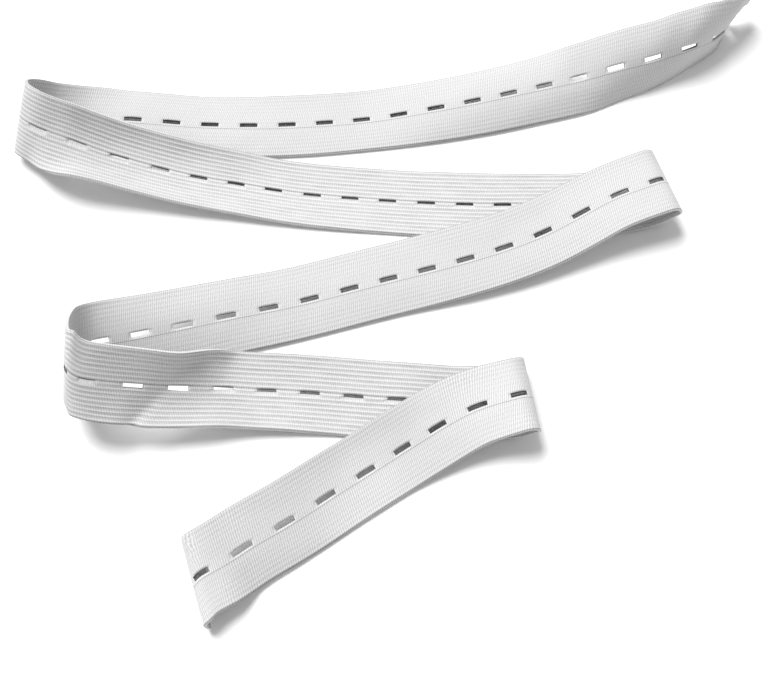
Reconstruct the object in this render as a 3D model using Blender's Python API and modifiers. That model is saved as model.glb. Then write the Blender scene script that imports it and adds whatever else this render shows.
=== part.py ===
"""One loose length of woven buttonhole elastic, lying in a zigzag of five strands.

The band is woven flat, with a row of slits down its middle, and is then laid
along its lie. A place on the flat band is a slit number, which counts the slit
pitches along the band, and a distance across it, from the near edge to the far
edge. Lengths are in metres here, and the tables of the lie are in millimetres.
"""

from collections import namedtuple

import bmesh
import bpy
import numpy as np

MM = 0.001

BAND_WIDTH = 18.0 * MM
BAND_THICKNESS = 1.0 * MM
SLIT_PITCH = 10.0 * MM
SLIT_LENGTH = 4.5 * MM
SLIT_WIDTH = 1.1 * MM

# The cut ends, counted in slit pitches.
FIRST_END = -1.4
LAST_END = 73.9

# Lines along the band, as distances from its middle: slit edge, webs, selvedge.
WEB_LINES = (SLIT_WIDTH / 2, 2.7 * MM, 4.8 * MM, 6.9 * MM, BAND_WIDTH / 2)

# Lines across the band in each slit pitch, few on a straight strand, more on a bend.
SLIT_END = SLIT_LENGTH / 2 / SLIT_PITCH
STRAIGHT_LINES = (-SLIT_END, SLIT_END)
BENT_LINES = (-SLIT_END, -SLIT_END / 3, SLIT_END / 3, SLIT_END, 0.41, 0.59)
LEAST_SPACING = 0.08

# A weft slants at most this much against the band, as the sine of the angle.
MOST_SLANT = 0.92
SAMPLES = 4000

# One cross-section of the lie: the slit number, the place of the band's middle in
# millimetres, the way the weft points from the near to the far edge in plan, and
# how far its near half and its far half climb that way, in degrees.
Lie = namedtuple("Lie", "slit x y z weft near far")

# The cut end is tucked under at a slant, and the first strand runs to the left.
FIRST_STRAND = (
    Lie(-3.2, 95.2, 114.5, 0.5, 48, 0, 0),
    Lie(-1.9, 94.2, 103.0, 0.5, 48, 0, 0),
    Lie(-1.2, 93.4, 96.4, 0.8, 48, 0, 0),
    Lie(-0.7, 92.6, 93.2, 2.4, 48, 0, 0),
    Lie(-0.35, 90.6, 90.7, 4.2, 48, 5, -4),
    Lie(0, 87.0, 87.9, 5.8, 51, 17, -5),
    Lie(0.5, 82.9, 85.0, 7.2, 55, 31, -4),
    Lie(1, 78.6, 82.5, 8.2, 60, 42, -1),
    Lie(1.5, 73.9, 80.6, 8.7, 66, 48, 3),
    Lie(2, 69.1, 78.9, 8.6, 72, 51, 8),
    Lie(2.5, 64.3, 77.8, 8.1, 78, 50, 11),
    Lie(3, 59.6, 76.8, 7.3, 84, 46, 13),
    Lie(4, 50.3, 74.7, 5.5, 92, 33, 9),
    Lie(5, 41.4, 72.8, 4.3, 99, 22, 1),
    Lie(6, 32.2, 70.9, 3.4, 102, 17, -3),
    Lie(8, 13.6, 67.4, 2.1, 102, 10, -4),
    Lie(10, -5.5, 64.6, 1.0, 97, 3, 0),
    Lie(12, -24.5, 62.9, 1.1, 91, 4, 0),
    Lie(14, -44.2, 62.8, 1.3, 89, 5, -2),
)

# The first loop stands up at the left and leans back.
LEFT_LOOP_FAR = (
    Lie(16, -63.7, 63.3, 2.2, 89, 10, -3),
    Lie(17, -73.6, 63.2, 3.4, 87, 17, 8),
    Lie(18, -83.2, 62.6, 5.6, 79, 33, 24),
    Lie(18.7, -88.6, 60.8, 8.0, 70, 44, 44),
    Lie(19.2, -90.0, 57.6, 9.6, 66, 46, 46),
    Lie(19.8, -86.6, 54.0, 10.6, 67, 36, 44),
    Lie(20.5, -80.1, 52.0, 9.8, 71, 18, 38),
    Lie(21.2, -73.4, 51.3, 7.8, 75, 4, 33),
)

# The second strand comes down over the first one's near edge and lies flat.
SECOND_STRAND = (
    Lie(22, -65.4, 50.2, 5.4, 77, -5, 26),
    Lie(23, -55.4, 48.1, 3.4, 78, -5, 20),
    Lie(24, -45.9, 46.1, 2.2, 79, -5, 14),
    Lie(25, -36.6, 44.7, 1.5, 80, -4, 9),
    Lie(26, -27.3, 43.2, 1.0, 81, -2, 5),
    Lie(27, -17.6, 41.9, 0.7, 83, 0, 5),
    Lie(29, 1.1, 40.3, 0.5, 86, 0, 2),
    Lie(31, 20.2, 39.2, 0.5, 89, 0, 2),
    Lie(32, 29.5, 39.1, 0.5, 90, 0, 2),
)

# A flat hairpin at the right brings the third strand back over the second.
RIGHT_FOLD_FAR = (
    Lie(34, 49.0, 39.6, 0.7, 95, 0, 0),
    Lie(35.4, 62.4, 41.2, 1.4, 103, 0, 0),
    Lie(36.2, 69.3, 42.9, 4.6, 107, 0, 0),
    Lie(37, 66.2, 41.2, 8.8, 108, 0, 0),
    Lie(38, 57.2, 38.1, 7.8, 109, 0, -1),
)

THIRD_STRAND = (
    Lie(39, 47.9, 33.8, 5.8, 112, 2, 0),
    Lie(40, 38.5, 29.1, 4.5, 113, 4, 3),
    Lie(42, 19.7, 22.2, 3.7, 109, 7, 4),
    Lie(44, 1.3, 17.3, 2.9, 107, 9, 4),
    Lie(46, -17.3, 12.0, 2.7, 106, 9, 4),
    Lie(48, -36.5, 6.9, 3.9, 103, 17, 7),
)

# The second loop is wider: its front stands clear of the table.
LEFT_LOOP_NEAR = (
    Lie(50, -55.7, 1.4, 6.0, 102, 30, 16),
    Lie(51, -64.3, -1.3, 7.8, 98, 40, 28),
    Lie(51.8, -69.2, -4.2, 10.2, 86, 44, 40),
    Lie(52.6, -69.8, -9.4, 13.8, 78, 46, 46),
    Lie(53.2, -68.0, -12.8, 15.8, 78, 40, 44),
    Lie(54, -63.2, -14.4, 14.8, 76, 30, 40),
    Lie(54.8, -56.8, -14.0, 11.6, 62, 22, 40),
    Lie(55.5, -50.5, -13.3, 8.9, 50, 8, 20),
    Lie(56.2, -43.7, -12.7, 7.0, 56, 4, 24),
)

FOURTH_STRAND = (
    Lie(57, -36.0, -11.8, 4.9, 74, 4, 20),
    Lie(58, -26.4, -11.6, 3.0, 84, 3, 12),
    Lie(60, -6.7, -12.4, 1.7, 86, 8, 8),
    Lie(61, 3.2, -13.1, 1.6, 86, 7, 6),
)

RIGHT_FOLD_NEAR = (
    Lie(62.6, 18.8, -13.8, 1.0, 90, 3, 4),
    Lie(63.7, 29.4, -13.4, 1.8, 95, 0, 0),
    Lie(64.3, 33.2, -13.2, 4.6, 98, -2, -2),
    Lie(65, 30.3, -14.4, 7.8, 103, -3, -3),
    Lie(66, 21.1, -16.5, 5.8, 110, 1, 1),
)

# The fifth strand ends in a short turn under itself.
FIFTH_STRAND = (
    Lie(67, 12.1, -20.8, 4.2, 118, 6, 6),
    Lie(68, 4.3, -25.4, 2.8, 122, 5, 12),
    Lie(69, -3.8, -30.5, 1.6, 123, 3, 10),
    Lie(70, -12.6, -36.2, 1.9, 122, 8, 11),
    Lie(71, -21.2, -42.2, 2.9, 122, 15, 11),
    Lie(72, -30.0, -48.3, 4.2, 121, 14, 9),
    Lie(72.55, -34.8, -51.9, 5.4, 117, 8, 8),
    Lie(73, -38.1, -54.0, 5.6, 112, 4, 4),
    Lie(73.4, -39.8, -55.9, 3.8, 108, 0, 0),
    Lie(73.8, -38.4, -56.0, 1.0, 106, 0, 0),
    Lie(74.2, -34.6, -55.6, 0.5, 106, 0, 0),
)

LIE = (FIRST_STRAND + LEFT_LOOP_FAR + SECOND_STRAND + RIGHT_FOLD_FAR + THIRD_STRAND
       + LEFT_LOOP_NEAR + FOURTH_STRAND + RIGHT_FOLD_NEAR + FIFTH_STRAND)

# The middle of the lie in plan, in millimetres, which is the part's origin.
CENTRE = (2.9, 18.7)

# The bends, from slit number to slit number.
BENDS = ((-2, 3), (17.5, 21), (35, 37.5), (50.6, 56.4), (63, 65.6), (72, 74))

ELASTIC_WHITE = (0.86, 0.86, 0.85, 1.0)


def clear_scene():
    """Remove every object of the open scene."""
    for item in list(bpy.data.objects):
        bpy.data.objects.remove(item)


def collection_named(name):
    """Return a new collection of the scene."""
    group = bpy.data.collections.new(name)
    bpy.context.scene.collection.children.link(group)
    return group


def elastic_material():
    """Return the matt white of the woven elastic."""
    material = bpy.data.materials.new("woven_elastic")
    material.use_nodes = True
    shader = material.node_tree.nodes["Principled BSDF"]
    shader.inputs["Base Color"].default_value = ELASTIC_WHITE
    shader.inputs["Roughness"].default_value = 0.85
    shader.inputs["Metallic"].default_value = 0.0
    return material


def spline_through(knots, values, places):
    """Return the natural cubic spline through the knots' values, at the places."""
    gaps = np.diff(knots)
    slopes = np.diff(values, axis=0) / gaps[:, None]
    count = len(knots)
    system = np.eye(count)
    right = np.zeros_like(values)
    for row in range(1, count - 1):
        before, after = gaps[row - 1], gaps[row]
        system[row, row - 1:row + 2] = before, 2 * (before + after), after
        right[row] = 6 * (slopes[row] - slopes[row - 1])
    bend = np.linalg.solve(system, right)
    span = np.clip(np.searchsorted(knots, places, side="right") - 1, 0, count - 2)
    gap = gaps[span][:, None]
    start = (knots[span + 1][:, None] - places[:, None]) / gap
    end = 1 - start
    curve = (start ** 3 - start) * bend[span] + (end ** 3 - end) * bend[span + 1]
    return start * values[span] + end * values[span + 1] + curve * gap ** 2 / 6


def level_spline_through(knots, values, places):
    """Return a cubic curve through the values that never swings past one of them."""
    gaps = np.diff(knots)
    slopes = np.diff(values) / gaps
    rates = np.zeros(len(knots))
    same = slopes[:-1] * slopes[1:] > 0
    rates[1:-1][same] = 2 * slopes[:-1][same] * slopes[1:][same] / (slopes[:-1] + slopes[1:])[same]
    span = np.clip(np.searchsorted(knots, places, side="right") - 1, 0, len(gaps) - 1)
    gap = gaps[span]
    part = (places - knots[span]) / gap
    rest = 1 - part
    ends = values[span] * rest ** 2 * (1 + 2 * part) + values[span + 1] * part ** 2 * (1 + 2 * rest)
    return ends + gap * part * rest * (rates[span] * rest - rates[span + 1] * part)


def sampled_lie():
    """Return the lie, closely sampled: slit numbers, middles, ways and three angles.

    Height and leans keep level between two equal rows, so a flat strand is flat.
    """
    rows = np.array(LIE, dtype=float)
    slits = rows[:, 0]
    places = np.linspace(slits[0], slits[-1], SAMPLES)
    ground = spline_through(slits, (rows[:, 1:3] - CENTRE) * MM, places)
    height = level_spline_through(slits, rows[:, 3] * MM, places)
    middles = np.column_stack((ground, height))
    ways = np.gradient(middles, axis=0)
    ways /= np.linalg.norm(ways, axis=1)[:, None]
    weft = spline_through(slits, np.radians(rows[:, 4:5]), places)[:, 0]
    near = level_spline_through(slits, np.radians(rows[:, 5]), places)
    far = level_spline_through(slits, np.radians(rows[:, 6]), places)
    return places, middles, ways, weft, near, far


def lay_line(lie, across, slits):
    """Return where one lengthwise line of the flat band lies.

    The weft bows evenly from the near half's lean to the far half's. It may not
    be square to the band, so it meets this line further along than the middle.
    The table holds the band up.
    """
    places, middles, ways, weft, near, far = lie
    lean = (near + far) / 2 - (near - far) * across / BAND_WIDTH
    wefts = np.stack((np.cos(weft) * np.cos(lean), np.sin(weft) * np.cos(lean), np.sin(lean)), 1)
    slants = np.clip(np.sum(wefts * ways, axis=1), -MOST_SLANT, MOST_SLANT)
    square = np.sqrt(1 - slants ** 2)
    points = middles + wefts * (across / square)[:, None]
    points[:, 2] = np.maximum(points[:, 2], BAND_THICKNESS / 2)
    reached = np.maximum.accumulate(places + across * slants / square / SLIT_PITCH)
    return np.stack([np.interp(slits, reached, points[:, axis]) for axis in range(3)], 1)


def lines_across():
    """Return the slit numbers of the lines across the band, from end to end."""
    lines = [FIRST_END, LAST_END]
    for slit in range(int(FIRST_END) - 1, int(LAST_END) + 2):
        bent = any(first <= slit <= last for first, last in BENDS)
        lines += [slit + step for step in (BENT_LINES if bent else STRAIGHT_LINES)]
    inner = (FIRST_END + LEAST_SPACING, LAST_END - LEAST_SPACING)
    return sorted(line for line in lines if inner[0] < line < inner[1] or line in lines[:2])


def in_slit(place, across):
    """Say whether a place on the flat band is inside a slit."""
    return abs(place - round(place)) < SLIT_END and abs(across) < SLIT_WIDTH / 2


def laid_sheet():
    """Return a mesh of the band's middle surface, with its slits, as it lies."""
    slits = lines_across()
    webs = [-line for line in reversed(WEB_LINES)] + list(WEB_LINES)
    lie = sampled_lie()
    laid = np.array([lay_line(lie, across, slits) for across in webs])
    sheet = bmesh.new()
    columns, strips = len(slits) - 1, len(webs) - 1
    bmesh.ops.create_grid(sheet, x_segments=columns, y_segments=strips, size=1)
    cut = []
    for face in sheet.faces:
        middle = face.calc_center_median()
        column = int((middle.x + 1) / 2 * columns)
        strip = int((middle.y + 1) / 2 * strips)
        place = (slits[column] + slits[column + 1]) / 2
        if in_slit(place, (webs[strip] + webs[strip + 1]) / 2):
            cut.append(face)
    for vertex in sheet.verts:
        column = round((vertex.co.x + 1) / 2 * columns)
        strip = round((vertex.co.y + 1) / 2 * strips)
        vertex.co = laid[strip, column]
    bmesh.ops.delete(sheet, geom=cut, context="FACES")
    # The longer diagonal of a bent quad runs along the bend, and keeps it smooth.
    bmesh.ops.triangulate(sheet, faces=sheet.faces, quad_method="LONG_EDGE")
    mesh = bpy.data.meshes.new("elastic_band")
    sheet.to_mesh(mesh)
    sheet.free()
    return mesh


def elastic_band(group):
    """Make the band: the laid sheet, given its thickness to both sides."""
    band = bpy.data.objects.new("elastic_band", laid_sheet())
    group.objects.link(band)
    band.data.materials.append(elastic_material())
    body = band.modifiers.new("thickness", "SOLIDIFY")
    body.thickness = BAND_THICKNESS
    body.offset = 0.0
    body.use_even_offset = True
    return band


def main():
    """Build the length of elastic."""
    clear_scene()
    elastic_band(collection_named("buttonhole_elastic"))


main()
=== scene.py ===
"""A loose length of white buttonhole elastic, lying in a zigzag on a pale floor.

The band is one piece of woven cloth. A place on it is a slit number, counted in
slit pitches along the band, and a distance across it from the near selvedge to the
far one. Lengths are in metres, but for the tables of the lie and the camera's lens, in
millimetres, and the cloth's patterns, in centimetres.
"""

import logging
import math
from dataclasses import dataclass
from enum import Enum
from typing import ClassVar, NamedTuple

import bpy
import numpy as np
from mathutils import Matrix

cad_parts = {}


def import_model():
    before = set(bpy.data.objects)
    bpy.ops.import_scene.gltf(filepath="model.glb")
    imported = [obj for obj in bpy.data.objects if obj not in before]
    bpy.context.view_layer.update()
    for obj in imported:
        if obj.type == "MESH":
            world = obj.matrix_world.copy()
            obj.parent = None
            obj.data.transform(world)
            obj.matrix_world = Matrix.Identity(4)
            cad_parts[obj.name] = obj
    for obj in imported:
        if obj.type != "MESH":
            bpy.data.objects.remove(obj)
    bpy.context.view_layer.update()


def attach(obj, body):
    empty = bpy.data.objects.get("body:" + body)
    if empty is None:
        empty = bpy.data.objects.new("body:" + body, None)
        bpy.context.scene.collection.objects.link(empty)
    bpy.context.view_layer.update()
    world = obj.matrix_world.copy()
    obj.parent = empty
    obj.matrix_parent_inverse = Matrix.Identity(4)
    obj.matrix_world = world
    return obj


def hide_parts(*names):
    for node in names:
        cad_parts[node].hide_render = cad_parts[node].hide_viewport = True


LOG = logging.getLogger("buttonhole_elastic")
MM = 0.001


class Lie(NamedTuple):
    """One cross-section of the lie, in millimetres and degrees.

    Attributes:
        slit: Where it is along the band, as a slit number.
        x: The middle line's place to the right.
        y: The middle line's place away from the viewer.
        z: The middle line's height.
        weft: The way the weft points in plan, from the near to the far selvedge.
        near: How far the near half climbs that way.
        far: How far the far half climbs that way.
    """

    slit: float
    x: float
    y: float
    z: float
    weft: float
    near: float
    far: float


# The lie, a row for each section of a strand or bend. Its numbers come from
# measurements of the photograph. Many were worked out by separate calculation, and
# then rounded and adjusted.
FIRST_STRAND = (
    Lie(-3.2, 93.0, 115.5, 0.5, 48, 40, 0),
    Lie(-1.9, 92.0, 103.3, 2.0, 48, 60, 0),
    Lie(-1.2, 91.2, 96.3, 3.0, 48, 80, 0),
    Lie(-0.7, 91.0, 93.1, 4.4, 48, 85, 0),
    Lie(-0.35, 89.8, 90.3, 6.3, 48, 90, -4),
    Lie(0, 87.0, 87.0, 7.3, 51, 100, 22),
    Lie(0.5, 82.9, 83.9, 8.7, 55, 92, 30),
    Lie(1, 78.6, 81.6, 9.3, 60, 78, 34),
    Lie(1.5, 73.9, 80.1, 8.9, 66, 66, 33),
    Lie(2, 69.1, 78.5, 8.6, 72, 61, 30),
    Lie(2.5, 64.3, 77.4, 8.1, 78, 56, 27),
    Lie(3, 59.6, 76.3, 7.6, 84, 50, 23),
    Lie(4, 50.3, 74.4, 5.8, 92, 34, 17),
    Lie(5, 41.4, 72.6, 4.8, 99, 27, 2),
    Lie(6, 32.2, 70.5, 4.3, 102, 23, -3),
    Lie(8, 13.6, 67.0, 2.9, 102, 14, -4),
    Lie(10, -5.5, 64.5, 1.2, 97, 3, 0),
    Lie(12, -24.5, 62.7, 1.6, 91, 6, 1),
    Lie(14, -44.2, 62.7, 1.6, 89, 6, -3),
)
LEFT_LOOP_FAR = (
    Lie(16, -63.7, 63.5, 2.9, 89, 14, -3),
    Lie(17, -73.6, 63.4, 3.2, 87, 17, 8),
    Lie(18, -83.2, 62.1, 5.3, 79, 33, 24),
    Lie(18.7, -88.6, 61.4, 8.0, 70, 44, 44),
    Lie(19.2, -90.0, 59.5, 9.6, 66, 48, 46),
    Lie(19.8, -86.6, 56.0, 10.6, 67, 50, 44),
    Lie(20.5, -80.1, 53.3, 9.8, 71, 24, 38),
    Lie(21.2, -73.4, 51.6, 7.8, 75, -2, 33),
)
SECOND_STRAND = (
    Lie(22, -65.4, 49.9, 5.4, 77, -11, 30),
    Lie(23, -55.4, 47.9, 3.4, 78, -11, 26),
    Lie(24, -45.9, 46.1, 2.2, 79, -10, 20),
    Lie(25, -36.6, 44.7, 1.5, 80, -8, 12),
    Lie(26, -27.3, 43.2, 1.0, 81, -6, 5),
    Lie(27, -17.6, 41.9, 0.7, 83, -4, 5),
    Lie(29, 1.1, 40.2, 0.7, 86, 0, 4),
    Lie(31, 20.2, 38.9, 1.2, 89, 3, 5),
    Lie(32, 29.5, 38.7, 1.3, 90, 4, 4),
)
RIGHT_FOLD_FAR = (
    Lie(34, 49.0, 39.6, 0.7, 95, 0, 0),
    Lie(35.4, 62.4, 41.2, 1.4, 103, 0, 0),
    Lie(36.2, 69.3, 42.9, 4.6, 107, 0, 0),
    Lie(37, 66.2, 41.2, 8.8, 108, 0, 0),
    Lie(38, 57.2, 38.1, 7.8, 109, 0, -1),
)
THIRD_STRAND = (
    Lie(39, 47.9, 33.8, 5.8, 112, 2, 1),
    Lie(40, 38.5, 29.1, 4.5, 113, 5, 6),
    Lie(42, 19.7, 22.2, 3.7, 109, 10, 8),
    Lie(44, 1.3, 17.3, 2.9, 107, 13, 5),
    Lie(46, -17.3, 12.0, 2.7, 106, 13, 5),
    Lie(48, -36.5, 6.7, 4.4, 103, 24, 7),
)
LEFT_LOOP_NEAR = (
    Lie(50, -55.7, 1.3, 6.2, 102, 43, 17),
    Lie(51, -64.3, -1.3, 7.8, 98, 48, 28),
    Lie(51.8, -69.2, -4.2, 10.2, 86, 44, 40),
    Lie(52.6, -69.8, -9.3, 13.8, 78, 50, 46),
    Lie(53.2, -68.3, -12.5, 15.8, 78, 52, 44),
    Lie(54, -64.5, -14.2, 14.8, 76, 42, 40),
    Lie(54.8, -56.8, -14.0, 12.2, 68, 27, 42),
    Lie(55.3, -52.2, -13.6, 10.4, 57, 20, 40),
    Lie(55.65, -49.0, -13.2, 8.9, 51, 14, 35),
    Lie(55.95, -46.2, -12.9, 7.8, 50, 6, 17),
    Lie(56.4, -41.8, -12.5, 6.5, 57, 4, 10),
)
FOURTH_STRAND = (
    Lie(57, -36.0, -12.0, 4.8, 72, -1, 9),
    Lie(58, -26.4, -11.8, 3.0, 82, 2, 15),
    Lie(60, -6.7, -12.9, 2.3, 86, 10, 13),
    Lie(61, 3.2, -13.7, 2.5, 86, 11, 10),
)
RIGHT_FOLD_NEAR = (
    Lie(62.6, 18.8, -13.8, 1.0, 90, 3, 4),
    Lie(63.7, 29.4, -13.4, 1.8, 95, 0, 0),
    Lie(64.3, 33.2, -13.2, 4.6, 98, -2, -2),
    Lie(65, 30.3, -14.4, 7.8, 103, -3, -3),
    Lie(66, 21.1, -16.5, 5.8, 110, 1, 1),
)
FIFTH_STRAND = (
    Lie(67, 12.1, -20.8, 4.2, 118, 9, 9),
    Lie(68, 4.3, -25.4, 2.8, 122, 10, 17),
    Lie(69, -3.8, -30.5, 1.6, 123, 5, 15),
    Lie(70, -12.6, -36.6, 2.4, 122, 11, 19),
    Lie(71, -21.2, -42.9, 4.0, 122, 21, 19),
    Lie(72, -30.0, -48.6, 4.5, 121, 22, 16),
    Lie(72.55, -34.8, -52.2, 5.6, 117, 11, 14),
    Lie(73, -38.1, -54.2, 5.7, 112, 6, 8),
    Lie(73.4, -39.8, -55.9, 3.8, 108, 0, 0),
    Lie(73.8, -38.4, -56.0, 1.0, 106, 0, 0),
    Lie(74.2, -34.6, -55.6, 0.5, 106, 0, 0),
)
LIE = (FIRST_STRAND + LEFT_LOOP_FAR + SECOND_STRAND + RIGHT_FOLD_FAR + THIRD_STRAND
       + LEFT_LOOP_NEAR + FOURTH_STRAND + RIGHT_FOLD_NEAR + FIFTH_STRAND)

# The middle of the lie in plan, in millimetres, which is the part's origin.
CENTRE = (2.9, 18.7)

# Slits drawn shut over the bends, and the slits of the strands with their ribbed
# face up.
SHUT_SLITS = (20, 21, 54)
RIBBED_STRANDS = ((22, 34), (57, 62))


class Face(Enum):
    """The faces of the cloth, as material slot numbers of the piece."""

    SMOOTH = 0
    RIBBED = 1
    SELVEDGE = 2
    # The walls of the slits, which carry a painted shade.
    SLIT = 3


def spline_through(knots: np.ndarray, values: np.ndarray, places: np.ndarray) -> np.ndarray:
    """Run a natural cubic spline through values.

    Args:
        knots: Where the values stand, in rising order.
        values: One row per knot.
        places: Where the spline is read.

    Returns:
        One row per place.
    """
    gaps = np.diff(knots)
    slopes = np.diff(values, axis=0) / gaps[:, None]
    count = len(knots)
    system = np.eye(count)
    right = np.zeros_like(values)
    for row in range(1, count - 1):
        before, after = gaps[row - 1], gaps[row]
        system[row, row - 1:row + 2] = before, 2 * (before + after), after
        right[row] = 6 * (slopes[row] - slopes[row - 1])
    bend = np.linalg.solve(system, right)
    span = np.clip(np.searchsorted(knots, places, side="right") - 1, 0, count - 2)
    gap = gaps[span][:, None]
    start = (knots[span + 1][:, None] - places[:, None]) / gap
    end = 1 - start
    curve = (start ** 3 - start) * bend[span] + (end ** 3 - end) * bend[span + 1]
    return start * values[span] + end * values[span + 1] + curve * gap ** 2 / 6


def level_spline_through(knots: np.ndarray, values: np.ndarray, places: np.ndarray) -> np.ndarray:
    """Run a cubic curve through values that never swings past one of them.

    Args:
        knots: Where the values stand, in rising order.
        values: One value per knot.
        places: Where the curve is read.

    Returns:
        One value per place.
    """
    gaps = np.diff(knots)
    slopes = np.diff(values) / gaps
    rates = np.zeros(len(knots))
    same = slopes[:-1] * slopes[1:] > 0
    rates[1:-1][same] = 2 * slopes[:-1][same] * slopes[1:][same] / (slopes[:-1] + slopes[1:])[same]
    span = np.clip(np.searchsorted(knots, places, side="right") - 1, 0, len(gaps) - 1)
    gap = gaps[span]
    part = (places - knots[span]) / gap
    rest = 1 - part
    ends = values[span] * rest ** 2 * (1 + 2 * part) + values[span + 1] * part ** 2 * (1 + 2 * rest)
    return ends + gap * part * rest * (rates[span] * rest - rates[span + 1] * part)


@dataclass
class Pattern:
    """The Math nodes of one material, laid out on the flat cloth.

    Attributes:
        nodes: The material's nodes.
        links: The material's links.
    """

    nodes: bpy.types.Nodes
    links: bpy.types.NodeLinks

    def join(self, operation: str, *values: object) -> bpy.types.NodeSocket:
        """Join numbers or sockets in one Math node.

        Args:
            operation: What the node does.
            values: Its inputs, in order.

        Returns:
            The node's output.
        """
        maths = self.nodes.new("ShaderNodeMath")
        maths.operation = operation
        for socket, value in zip(maths.inputs, values):
            if isinstance(value, (int, float)):
                socket.default_value = value
            else:
                self.links.new(value, socket)
        return maths.outputs[0]

    def noise(self, along: object, across: object, spacing: tuple[float, float]) -> bpy.types.NodeSocket:
        """Make uneven values over the cloth.

        Args:
            along: The place along the cloth, in centimetres.
            across: The place across the cloth, in centimetres.
            spacing: The size of one grain along and across, in centimetres.

        Returns:
            A socket with values from -1 to 1.
        """
        spot = self.nodes.new("ShaderNodeCombineXYZ")
        self.links.new(self.join("DIVIDE", along, spacing[0]), spot.inputs["X"])
        self.links.new(self.join("DIVIDE", across, spacing[1]), spot.inputs["Y"])
        texture = self.nodes.new("ShaderNodeTexNoise")
        texture.inputs["Scale"].default_value = 1.0
        texture.inputs["Detail"].default_value = 1.0
        self.links.new(spot.outputs["Vector"], texture.inputs["Vector"])
        return self.join("MULTIPLY_ADD", texture.outputs["Fac"], 2.0, -1.0)


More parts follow.
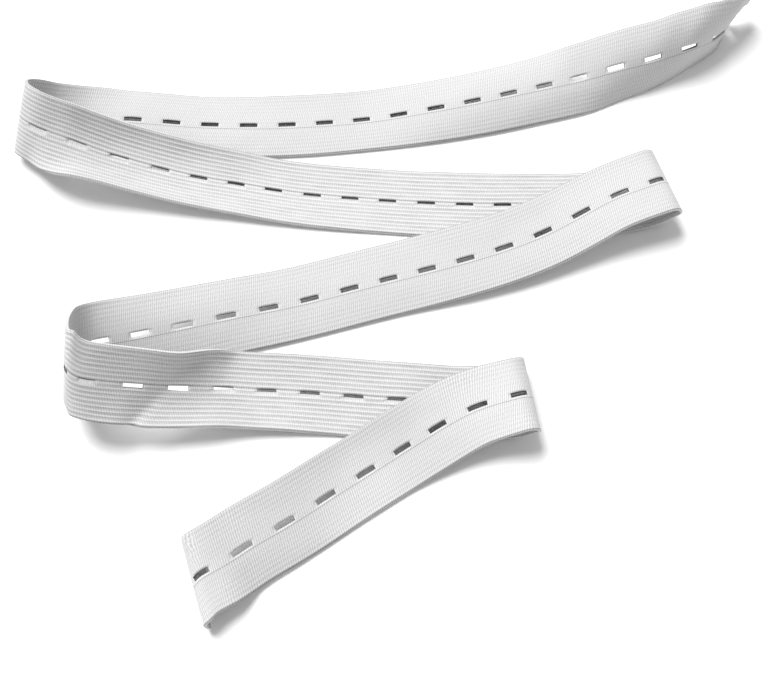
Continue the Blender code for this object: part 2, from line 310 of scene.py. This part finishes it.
@dataclass(frozen=True)
class WovenFinish:
    """The white cloth of one face: ribs, weft, grain, thin lines and soft waves, with painted shade in the
    rib grooves, between the weft threads and along the selvedges.

    Attributes:
        name: The material's name.
        white: The yarn's own brightness.
        groove: How much painted shade darkens the yarn between two ribs.
        sharpness: How narrow a rib's crest is.
        plain_middle: How much the ribs fade towards the slits, from 0 to 1.
        grain: How unevenly bright single stitches are.
        weft_painted_shade: How much painted shade darkens the yarn between two weft threads.
        rib_height: Height of the ribs, in metres.
        weft_height: Height of the weft, in metres.
        wave_height: Height of the soft waves left by handling, in metres.
        line_at: Where the thin woven line runs, across the band, in centimetres.
        line_depth: How dark the thin line is.
        selvedge_painted_shade: How much painted shade darkens the cloth along both selvedges.
        rib_pitch: From one rib to the next, in centimetres.
        weft_pitch: From one weft thread to the next, in centimetres.
        half_width: From the middle to a selvedge, in centimetres.
        selvedge_width: How wide the painted shade along each selvedge is, in centimetres.
        line_half_width: Half the width of the thin line, in centimetres.
        roughness: How matte the yarn is.
        sheen: How much the loose fibres catch the light.
        fade_power: How late the ribs gain strength on their way to the selvedge.
        rib_patch: The size of a stretch of rib with one depth, along and across.
        rib_swing: How much the depth of the ribs varies.
        rib_share: The mean depth of the ribs, as a share of the full one.
        thread_patch: The size of a stretch of weft that runs one way, along and across.
        thread_waver: How far the weft strays, as an angle of its wave.
        stitch: The size of one stitch, along and across.
        wave_patch: The size of one soft wave, along and across.
    """

    name: str
    white: float
    groove: float
    sharpness: float
    plain_middle: float
    grain: float
    weft_painted_shade: float
    rib_height: float
    weft_height: float
    wave_height: float
    line_at: float
    line_depth: float
    selvedge_painted_shade: float

    rib_pitch: ClassVar[float] = 0.106
    weft_pitch: ClassVar[float] = 0.05
    half_width: ClassVar[float] = 0.9
    selvedge_width: ClassVar[float] = 0.03
    line_half_width: ClassVar[float] = 0.011
    roughness: ClassVar[float] = 0.85
    sheen: ClassVar[float] = 0.15
    fade_power: ClassVar[float] = 1.5
    rib_patch: ClassVar[tuple[float, float]] = (0.7, 0.11)
    rib_swing: ClassVar[float] = 0.5
    rib_share: ClassVar[float] = 0.85
    thread_patch: ClassVar[tuple[float, float]] = (0.12, 0.06)
    thread_waver: ClassVar[float] = 2.4
    stitch: ClassVar[tuple[float, float]] = (0.045, 0.022)
    wave_patch: ClassVar[tuple[float, float]] = (1.3, 0.9)

    def material(self) -> bpy.types.Material:
        """Make the material.

        Returns:
            A material that reads the piece's UV map, in centimetres of flat cloth.
        """
        material = bpy.data.materials.new(self.name)
        material.use_nodes = True
        nodes, links = material.node_tree.nodes, material.node_tree.links
        shader = nodes["Principled BSDF"]
        shader.inputs["Roughness"].default_value = self.roughness
        shader.inputs["Sheen Weight"].default_value = self.sheen
        place = nodes.new("ShaderNodeUVMap")
        split = nodes.new("ShaderNodeSeparateXYZ")
        links.new(place.outputs["UV"], split.inputs["Vector"])
        pattern = Pattern(nodes, links)
        join = pattern.join
        along, across = split.outputs["X"], split.outputs["Y"]

        turn = join("MULTIPLY", across, 2 * np.pi / self.rib_pitch)
        crest = join("MULTIPLY_ADD", join("COSINE", turn), 0.5, 0.5)
        crest = join("POWER", crest, self.sharpness)
        outwards = join("DIVIDE", join("ABSOLUTE", across), self.half_width)
        outwards = join("POWER", outwards, self.fade_power)
        strength = join("MULTIPLY_ADD", outwards, self.plain_middle, 1 - self.plain_middle)
        valley = join("MULTIPLY", join("SUBTRACT", 1.0, crest), strength)
        uneven = pattern.noise(along, across, self.rib_patch)
        uneven = join("MULTIPLY_ADD", uneven, self.rib_swing, self.rib_share)
        valley = join("MULTIPLY", valley, uneven)
        waver = join("MULTIPLY", pattern.noise(along, across, self.thread_patch), self.thread_waver)
        weft_turn = join("MULTIPLY_ADD", along, 2 * np.pi / self.weft_pitch, join("MULTIPLY", turn, 0.5))
        weft = join("COSINE", join("ADD", weft_turn, waver))
        grains = pattern.noise(along, across, self.stitch)
        waves = pattern.noise(along, across, self.wave_patch)
        line = join("COMPARE", across, self.line_at, self.line_half_width)
        # A mask of both selvedges, which carries their painted shade.
        selvedge_start = self.half_width - self.selvedge_width
        selvedge = join("GREATER_THAN", join("ABSOLUTE", across), selvedge_start)

        # Painted shade: the yarn is darkened in the grooves between the ribs.
        shade = join("MULTIPLY_ADD", valley, -self.groove, 1.0)
        shade = join("MULTIPLY_ADD", grains, self.grain, shade)
        # Painted shade: the yarn is darkened between the weft threads.
        shade = join("MULTIPLY_ADD", weft, self.weft_painted_shade / 2, shade)
        shade = join("MULTIPLY_ADD", line, -self.line_depth, shade)
        # Painted shade: the cloth is darkened along both selvedges.
        shade = join("MULTIPLY_ADD", selvedge, -self.selvedge_painted_shade, shade)
        shade = join("MULTIPLY", shade, self.white)
        colour = nodes.new("ShaderNodeCombineColor")
        for socket in colour.inputs[:3]:
            links.new(shade, socket)
        links.new(colour.outputs["Color"], shader.inputs["Base Color"])

        height = join("MULTIPLY", valley, -self.rib_height)
        height = join("MULTIPLY_ADD", weft, self.weft_height, height)
        height = join("MULTIPLY_ADD", waves, self.wave_height, height)
        bump = nodes.new("ShaderNodeBump")
        bump.inputs["Distance"].default_value = 1.0
        links.new(height, bump.inputs["Height"])
        links.new(bump.outputs["Normal"], shader.inputs["Normal"])
        return material


SMOOTH_FACE = WovenFinish(
    name="woven_smooth_face", white=0.575, groove=0.12, sharpness=1.0, plain_middle=0.75,
    grain=0.20, weft_painted_shade=0.34, rib_height=0.00004, weft_height=0.000006, wave_height=0.0002,
    line_at=-0.11, line_depth=0.35, selvedge_painted_shade=0.20)
RIBBED_FACE = WovenFinish(
    name="woven_ribbed_face", white=0.645, groove=0.27, sharpness=1.8, plain_middle=0.0,
    grain=0.22, weft_painted_shade=0.18, rib_height=0.0001, weft_height=0.000006, wave_height=0.0002,
    line_at=0.06, line_depth=0.30, selvedge_painted_shade=0.12)
SELVEDGE = WovenFinish(
    name="woven_selvedge", white=0.60, groove=0.0, sharpness=1.0, plain_middle=0.0,
    grain=0.15, weft_painted_shade=0.3, rib_height=0.0, weft_height=0.00001, wave_height=0.0,
    line_at=5.0, line_depth=0.0, selvedge_painted_shade=0.0)
# Painted shade: the slit walls are dark grey, so that the slits look shadowed.
PAINTED_SHADE_SLIT_WALL = WovenFinish(
    name="slit_wall_painted_shade", white=0.13, groove=0.0, sharpness=1.0, plain_middle=0.0,
    grain=0.15, weft_painted_shade=0.0, rib_height=0.0, weft_height=0.00001, wave_height=0.0,
    line_at=5.0, line_depth=0.0, selvedge_painted_shade=0.0)


@dataclass
class ElasticBand:
    """The band of woven elastic, its lie and its cloth.

    Attributes:
        width: From selvedge to selvedge.
        thickness: Between the two faces.
        lowest: The least height of the middle of the cloth, before it settles.
        settled: How far the whole band settles, so that it touches the floor.
        pitch: From one slit to the next.
        slit_length: A slit's length along the band.
        slit_width: A slit's width across the band.
        first_end: The cut end at the upper right, as a slit number.
        last_end: The cut end at the lower left, as a slit number.
        end_margin: The least distance from an end to the next row, in slit pitches.
        rib_groove: How deep the ribbed face is between two ribs.
        rows_per_part: Rows along a slit with both its ends, and along the web after it.
        side_columns: Columns on each side of the slits.
        samples: How closely the lie's table is read.
        most_slant: The sine of the most that a weft slants against the band.
        shut_part: How far a shut slit still stands open, from 0 to 1.
        ribbed_part: How far a slit on the ribbed face stands open.
    """

    width: float = 18.0 * MM
    thickness: float = 0.65 * MM
    lowest: float = 0.5 * MM
    settled: float = 0.175 * MM
    pitch: float = 10.0 * MM
    slit_length: float = 4.5 * MM
    slit_width: float = 1.1 * MM
    first_end: float = -1.4
    last_end: float = 73.9
    end_margin: float = 0.04
    rib_groove: float = 0.05 * MM
    rows_per_part: int = 6
    side_columns: int = 17
    samples: int = 6000
    most_slant: float = 0.92
    shut_part: float = 0.12
    ribbed_part: float = 0.6

    def sampled_lie(self) -> tuple[np.ndarray, ...]:
        """Read the lie's table closely.

        Returns:
            Slit numbers, middles, ways, wefts and the two leans, one row per sample.
        """
        rows = np.array(LIE, dtype=float)
        slits = rows[:, 0]
        places = np.linspace(slits[0], slits[-1], self.samples)
        ground = spline_through(slits, (rows[:, 1:3] - CENTRE) * MM, places)
        height = level_spline_through(slits, rows[:, 3] * MM, places)
        middles = np.column_stack((ground, height))
        ways = np.gradient(middles, axis=0)
        ways /= np.linalg.norm(ways, axis=1)[:, None]
        weft = spline_through(slits, np.radians(rows[:, 4:5]), places)[:, 0]
        near = level_spline_through(slits, np.radians(rows[:, 5]), places)
        far = level_spline_through(slits, np.radians(rows[:, 6]), places)
        return places, middles, ways, weft, near, far

    def laid(self, along: np.ndarray, across: np.ndarray) -> np.ndarray:
        """Lay the flat cloth along its lie.

        Args:
            along: Slit numbers of the rows.
            across: Distances of the columns from the band's middle.

        Returns:
            Points by column, row and axis.
        """
        places, middles, ways, weft, near, far = self.sampled_lie()
        columns = []
        for distance in across:
            lean = (near + far) / 2 - (near - far) * distance / self.width
            wefts = np.stack((np.cos(weft) * np.cos(lean), np.sin(weft) * np.cos(lean), np.sin(lean)), 1)
            slants = np.clip(np.sum(wefts * ways, axis=1), -self.most_slant, self.most_slant)
            square = np.sqrt(1 - slants ** 2)
            points = middles + wefts * (distance / square)[:, None]
            points[:, 2] = np.maximum(points[:, 2], self.lowest)
            reached = np.maximum.accumulate(places + distance * slants / square / self.pitch)
            columns.append(np.stack([np.interp(along, reached, points[:, axis]) for axis in range(3)], 1))
        return np.array(columns)

    def rows(self) -> np.ndarray:
        """Return the slit numbers of the rows, with one at each slit's two ends."""
        half = self.slit_length / 2 / self.pitch
        count = self.rows_per_part
        web = (1 - 2 * half) / count
        slits = range(math.floor(self.first_end), math.ceil(self.last_end) + 1)
        inner = [np.linspace(slit - half, slit + half, count)[:-1] for slit in slits]
        outer = [np.arange(count) * web + slit + half for slit in slits]
        lines = np.sort(np.concatenate(inner + outer))
        first, last = self.first_end + self.end_margin, self.last_end - self.end_margin
        lines = lines[(lines > first) & (lines < last)]
        return np.concatenate(([self.first_end], lines, [self.last_end]))

    def columns(self) -> np.ndarray:
        """Return the distances of the columns, one at each rib's top and groove."""
        half = self.slit_width / 2
        side = np.linspace(half, self.width / 2, self.side_columns)
        return np.concatenate((-side[::-1], side))

    def open_part(self, row: float) -> float:
        """Say how far a slit stands open at a row.

        A slit over a tight bend is drawn shut, and on the ribbed face the near lip
        stands a little over the slit.

        Args:
            row: The row's slit number.

        Returns:
            A part from 0 to 1, which is 1 between the slits.
        """
        slit = round(row)
        rounding = 0.001
        if abs(row - slit) > self.slit_length / 2 / self.pitch + rounding:
            return 1.0
        if slit in SHUT_SLITS:
            return self.shut_part
        ribbed = any(first <= slit <= last for first, last in RIBBED_STRANDS)
        return self.ribbed_part if ribbed else 1.0

    def middle(self, along: np.ndarray, across: np.ndarray) -> np.ndarray:
        """Lay the middle of the cloth on the floor, with its slits open or shut.

        Args:
            along: Slit numbers of the rows.
            across: Distances of the columns from the band's middle.

        Returns:
            Points by column, row and axis.
        """
        middle = self.laid(along, across) - (0, 0, self.settled)
        lip = len(across) // 2 - 1
        open_part = np.array([self.open_part(row) for row in along])[:, None]
        middle[lip] = middle[lip + 1] + (middle[lip] - middle[lip + 1]) * open_part
        return middle

    def shell(self, middle: np.ndarray) -> np.ndarray:
        """Give the cloth its thickness and the ribs of its ribbed face.

        Args:
            middle: The middle of the cloth, by column, row and axis.

        Returns:
            The points of the smooth face, and after them those of the ribbed face.
        """
        slope_along = np.gradient(middle, axis=1)
        slope_across = np.gradient(middle, axis=0)
        normal = np.cross(slope_across, slope_along)
        normal /= np.linalg.norm(normal, axis=2)[:, :, None]
        half = self.thickness / 2
        groove = np.where(np.arange(len(middle)) % 2 == 0, self.rib_groove, 0.0)[:, None, None]
        top = middle + normal * half
        under = middle - normal * (half - groove)
        return np.concatenate((top.reshape(-1, 3), under.reshape(-1, 3)))

    def weave(self, solid: np.ndarray, rows: int, below: int) -> tuple[list, list]:
        """Close the cloth with faces.

        Args:
            solid: Which cells are cloth, by column and row.
            rows: How many rows of points there are.
            below: How far a point of the ribbed face is numbered after its fellow.

        Returns:
            The faces as point numbers, and each one's material slot.
        """
        faces, kinds = [], []
        last_column, last_row = solid.shape

        def at(column: int, row: int) -> int:
            """Return the number of a point of the smooth face."""
            return column * rows + row

        for column in range(last_column):
            for row in range(last_row):
                if not solid[column, row]:
                    continue
                ring = (at(column, row), at(column, row + 1), at(column + 1, row + 1), at(column + 1, row))
                faces.append(ring[::-1])
                kinds.append(Face.SMOOTH.value)
                faces.append(tuple(point + below for point in ring))
                kinds.append(Face.RIBBED.value)
                sides = (((column - 1, row), ring[0], ring[1]), ((column, row + 1), ring[1], ring[2]),
                         ((column + 1, row), ring[2], ring[3]), ((column, row - 1), ring[3], ring[0]))
                for (next_column, next_row), start, end in sides:
                    inside = 0 <= next_column < last_column and 0 <= next_row < last_row
                    if inside and solid[next_column, next_row]:
                        continue
                    faces.append((start, end, end + below, start + below))
                    kinds.append((Face.SLIT if inside else Face.SELVEDGE).value)
        return faces, kinds

    def build(self) -> bpy.types.Object:
        """Make the band as one closed piece.

        Returns:
            The piece, with its UV map in centimetres of flat cloth.
        """
        along, across = self.rows(), self.columns()
        points = self.shell(self.middle(along, across))
        columns, rows = len(across), len(along)
        below = columns * rows
        faces, kinds = self.weave(self.solid_cells(along, across), rows, below)
        mesh = bpy.data.meshes.new("elastic_band_woven")
        mesh.from_pydata(points.tolist(), [], faces)
        flat = mesh.uv_layers.new(name="cloth").data
        spots = np.array([vertex for face in faces for vertex in face]) % below
        place = np.column_stack((along[spots % rows], across[spots // rows] / self.pitch))
        flat.foreach_set("uv", place.astype(np.float32).ravel())
        mesh.polygons.foreach_set("material_index", kinds)
        mesh.polygons.foreach_set("use_smooth", [kind < Face.SELVEDGE.value for kind in kinds])
        for finish in (SMOOTH_FACE, RIBBED_FACE, SELVEDGE, PAINTED_SHADE_SLIT_WALL):
            mesh.materials.append(finish.material())
        mesh.update()
        piece = bpy.data.objects.new("elastic_band_woven", mesh)
        bpy.context.scene.collection.objects.link(piece)
        return piece

    def solid_cells(self, along: np.ndarray, across: np.ndarray) -> np.ndarray:
        """Say which cells are cloth and not slit.

        Args:
            along: Slit numbers of the rows.
            across: Distances of the columns from the band's middle.

        Returns:
            True for cloth, by column and row.
        """
        row = (along[:-1] + along[1:]) / 2
        column = (across[:-1] + across[1:]) / 2
        in_row = np.abs(row - np.round(row)) < self.slit_length / 2 / self.pitch
        in_column = np.abs(column) < self.slit_width / 2
        return ~(in_column[:, None] & in_row[None, :])

    def declare(self, piece: bpy.types.Object) -> None:
        """Tell the frame what the piece is and what it stands for."""
        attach(piece, "root")
        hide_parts("elastic_band")


@dataclass
class Studio:
    """The floor, the soft light and the camera.

    Attributes:
        focal_length: The camera's lens, in millimetres.
        sensor_width: The width of its sensor, in millimetres.
        nearest: The nearest that it sees, in metres.
        camera_distance: From the camera to the place it looks at, in metres.
        camera_height: How steeply it looks down, in degrees.
        floor_size: The floor's side, in metres.
        floor_white: The floor's brightness.
        floor_roughness: How matte the floor is.
        window_power: The strength of the soft light.
        window_softness: How wide the light is in the sky, in degrees.
        window_height: How high it stands, in degrees.
        window_side: How far it stands to the side, in degrees, less than 0 at the left.
        air: The strength of the light from all around.
    """

    focal_length: float = 54.0
    sensor_width: float = 36.0
    nearest: float = 0.01
    camera_distance: float = 0.26846
    camera_height: float = 65.0
    floor_size: float = 3.0
    floor_white: float = 0.95
    floor_roughness: float = 0.9
    window_power: float = 3.95
    window_softness: float = 36.0
    window_height: float = 56.0
    window_side: float = -38.0
    air: float = 0.45

    def build(self) -> None:
        """Set up the floor, the lights and the camera."""
        self.floor()
        self.window()
        world = bpy.data.worlds.new("studio_air")
        bpy.context.scene.world = world
        world.use_nodes = True
        world.node_tree.nodes["Background"].inputs["Color"].default_value = (1, 1, 1, 1)
        world.node_tree.nodes["Background"].inputs["Strength"].default_value = self.air
        bpy.context.scene.view_settings.view_transform = "Standard"
        self.camera()

    def floor(self) -> None:
        """Lay the plain pale floor."""
        bpy.ops.mesh.primitive_plane_add(size=self.floor_size, location=(0, 0, 0))
        floor = bpy.context.object
        floor.name = "floor"
        material = bpy.data.materials.new("pale_floor")
        material.use_nodes = True
        shader = material.node_tree.nodes["Principled BSDF"]
        shader.inputs["Base Color"].default_value = (*[self.floor_white] * 3, 1)
        shader.inputs["Roughness"].default_value = self.floor_roughness
        floor.data.materials.append(material)

    def window(self) -> None:
        """Let soft light in from behind the band, a little to the left."""
        data = bpy.data.lights.new("window_light", "SUN")
        data.energy = self.window_power
        data.angle = np.radians(self.window_softness)
        lamp = bpy.data.objects.new("window_light", data)
        height, side = np.radians(self.window_height), np.radians(self.window_side)
        lamp.rotation_euler = (np.pi / 2 - height, 0, np.pi - side)
        bpy.context.scene.collection.objects.link(lamp)

    def camera(self) -> None:
        """Place the camera at the photograph's angle."""
        data = bpy.data.cameras.new("camera")
        data.lens = self.focal_length
        data.sensor_width = self.sensor_width
        data.sensor_fit = "HORIZONTAL"
        data.clip_start = self.nearest
        camera = bpy.data.objects.new("camera", data)
        tilt = np.radians(self.camera_height)
        camera.location = (-CENTRE[0] * MM, -CENTRE[1] * MM - self.camera_distance * np.cos(tilt),
                           self.camera_distance * np.sin(tilt))
        camera.rotation_euler = (np.pi / 2 - tilt, 0, 0)
        bpy.context.scene.collection.objects.link(camera)
        bpy.context.scene.camera = camera


def main() -> None:
    """Dress the part and set up the studio."""
    logging.basicConfig(level=logging.INFO)
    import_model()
    Studio().build()
    band = ElasticBand()
    piece = band.build()
    band.declare(piece)
    LOG.info("%s: %d faces", piece.name, len(piece.data.polygons))


if __name__ == "__main__":
    main()
